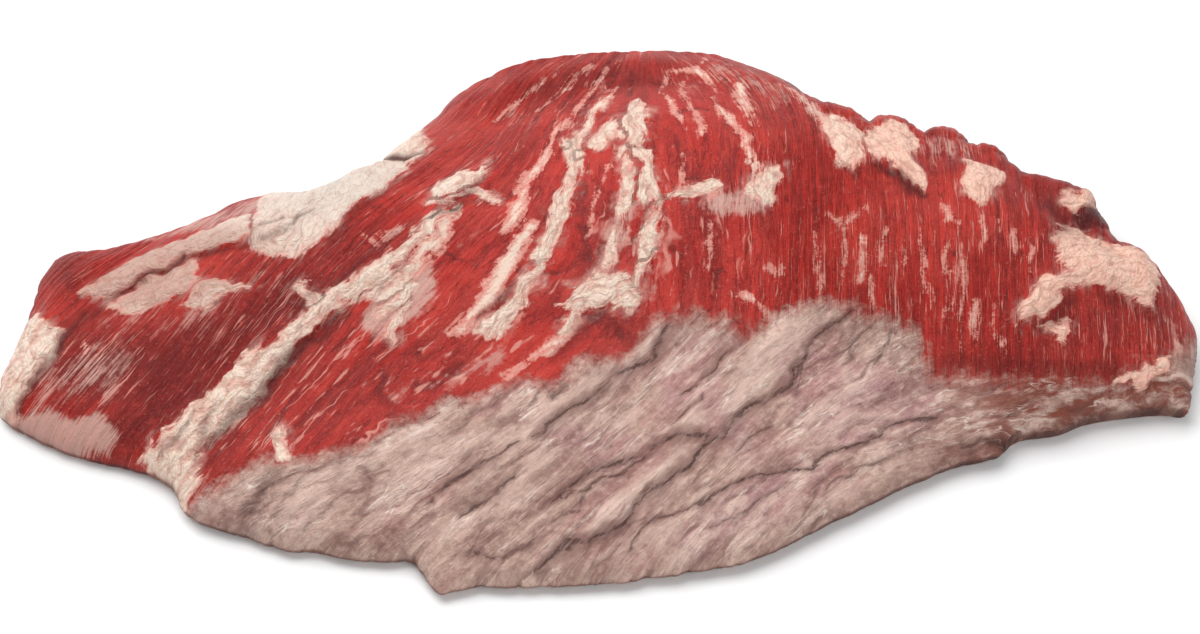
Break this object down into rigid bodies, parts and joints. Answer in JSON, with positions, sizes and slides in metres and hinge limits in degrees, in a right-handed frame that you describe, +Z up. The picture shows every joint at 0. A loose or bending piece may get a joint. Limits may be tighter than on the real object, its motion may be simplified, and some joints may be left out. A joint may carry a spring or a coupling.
{
  "type": "raw beef sirloin flap",
  "caption": "Whole raw beef sirloin flap: a thick fan-grained muscle with seams of fat, thinning to a silverskin apron, lying on its flat underside.",
  "frame": {"origin": "on the table under the middle of the flap's outline", "axes": "+X along the flap's length, towards its thick cut end, +Y away from the silverskin apron, +Z up"},
  "size_m": [0.3594, 0.1946, 0.041],
  "materials": {
    "raw_beef": "moist raw meat, dark red between fat and silverskin"
  },
  "bodies": {
    "root": {"sirloin_flap": "raw_beef"}
  },
  "joints": []
}
